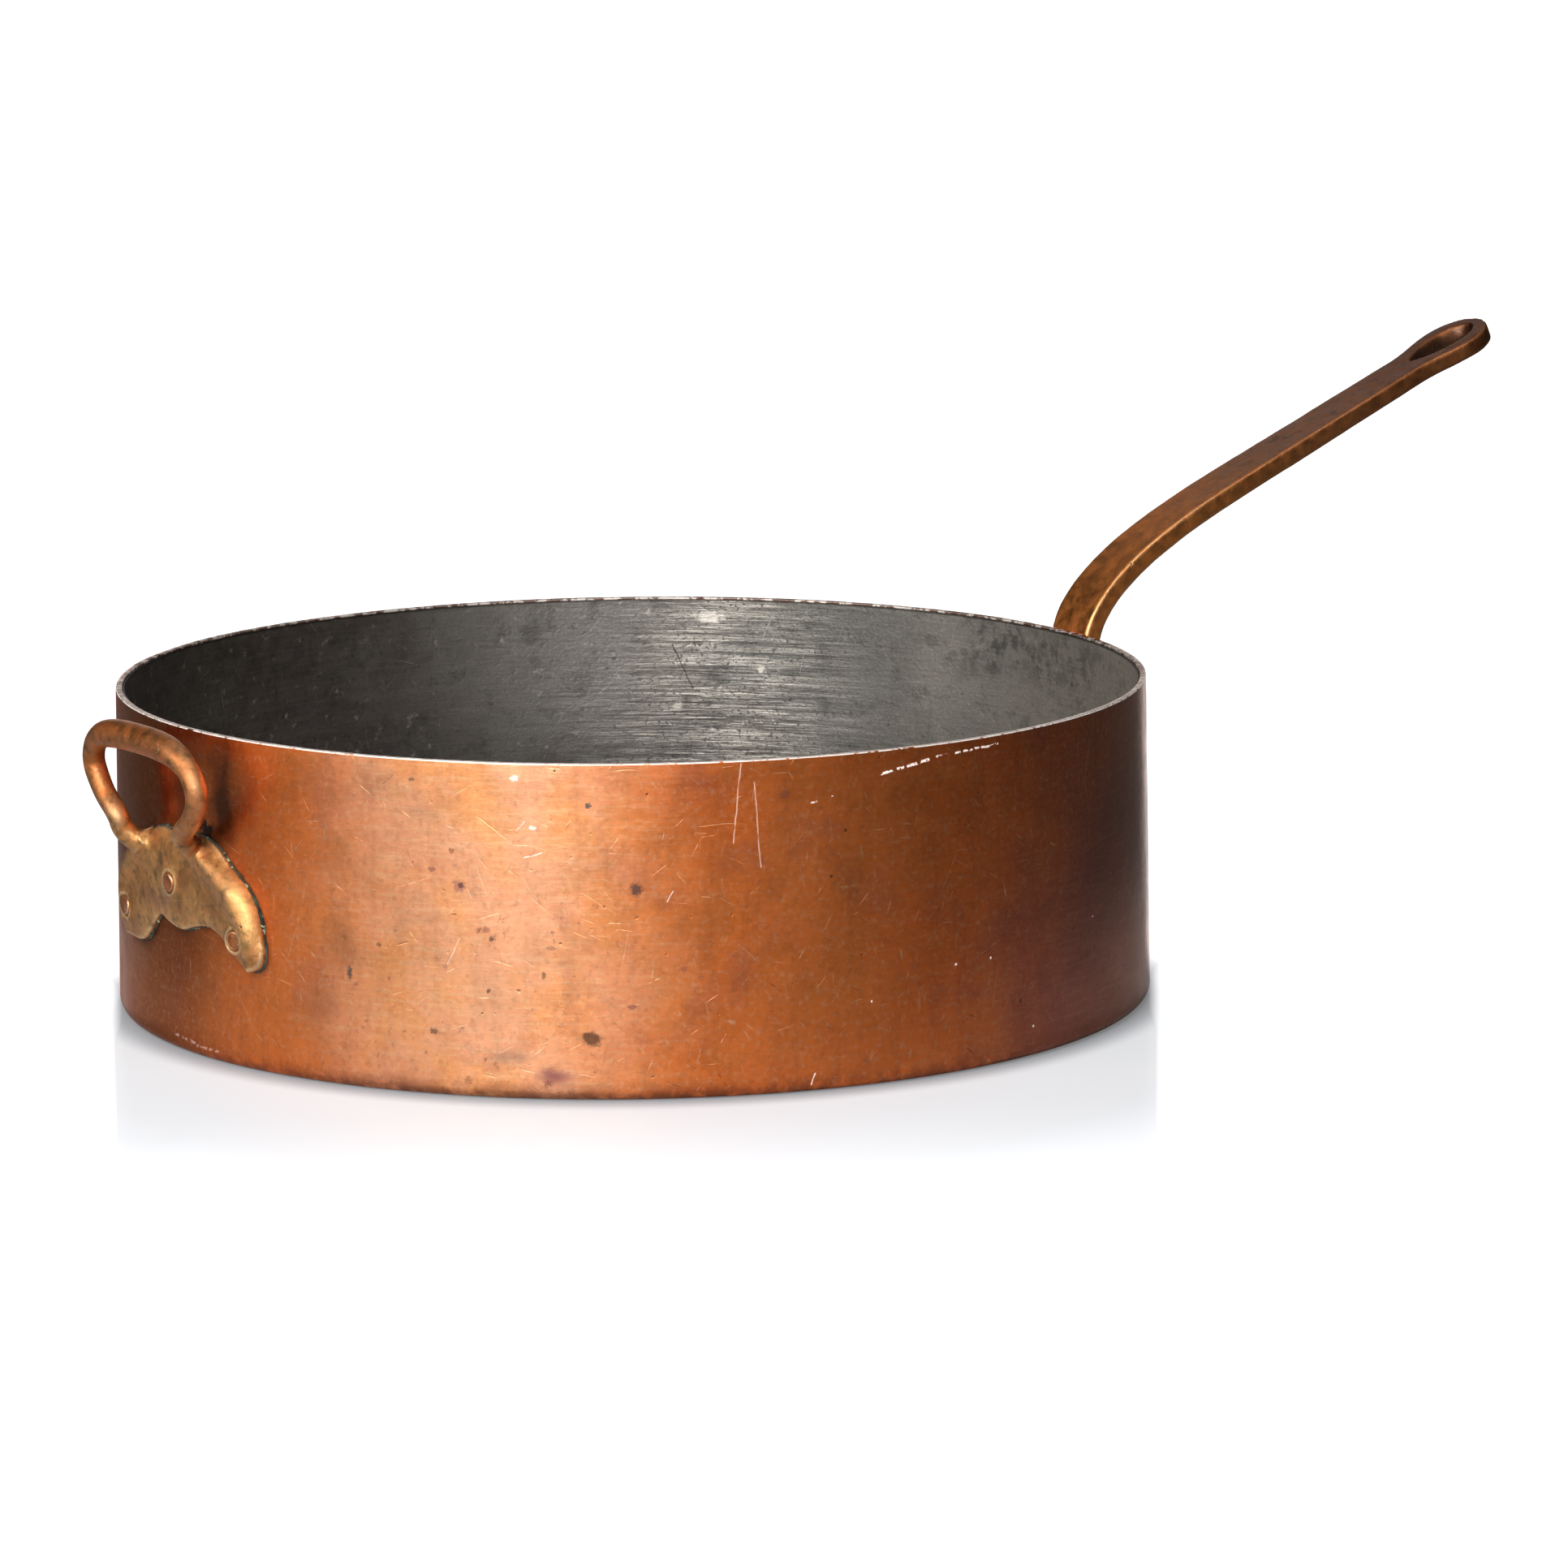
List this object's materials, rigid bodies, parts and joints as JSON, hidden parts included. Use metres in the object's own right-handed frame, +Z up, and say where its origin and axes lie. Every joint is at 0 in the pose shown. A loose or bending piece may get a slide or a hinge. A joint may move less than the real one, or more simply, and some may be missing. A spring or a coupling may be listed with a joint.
{
  "type": "casserole pan",
  "caption": "Wide tin-lined copper pan with straight walls, a long riveted handle with a hanging eye and a riveted loop handle across from it.",
  "frame": {"origin": "middle of the underside, on the surface that the pan stands on", "axes": "+X out along the long handle, +Z up, +Y completes the right-handed frame"},
  "size_m": [0.6586, 0.423, 0.2496],
  "materials": {
    "copper": "satin",
    "tin": "satin",
    "bronze": "satin",
    "rivet_copper": "satin"
  },
  "bodies": {
    "root": {"pan_body": "copper", "tin_lining": "tin", "long_handle": "bronze", "helper_handle": "bronze", "long_handle_rivet_1": "rivet_copper", "long_handle_rivet_2": "rivet_copper", "long_handle_rivet_3": "rivet_copper", "helper_rivet_1": "rivet_copper", "helper_rivet_2": "rivet_copper", "helper_rivet_3": "rivet_copper"}
  },
  "joints": []
}
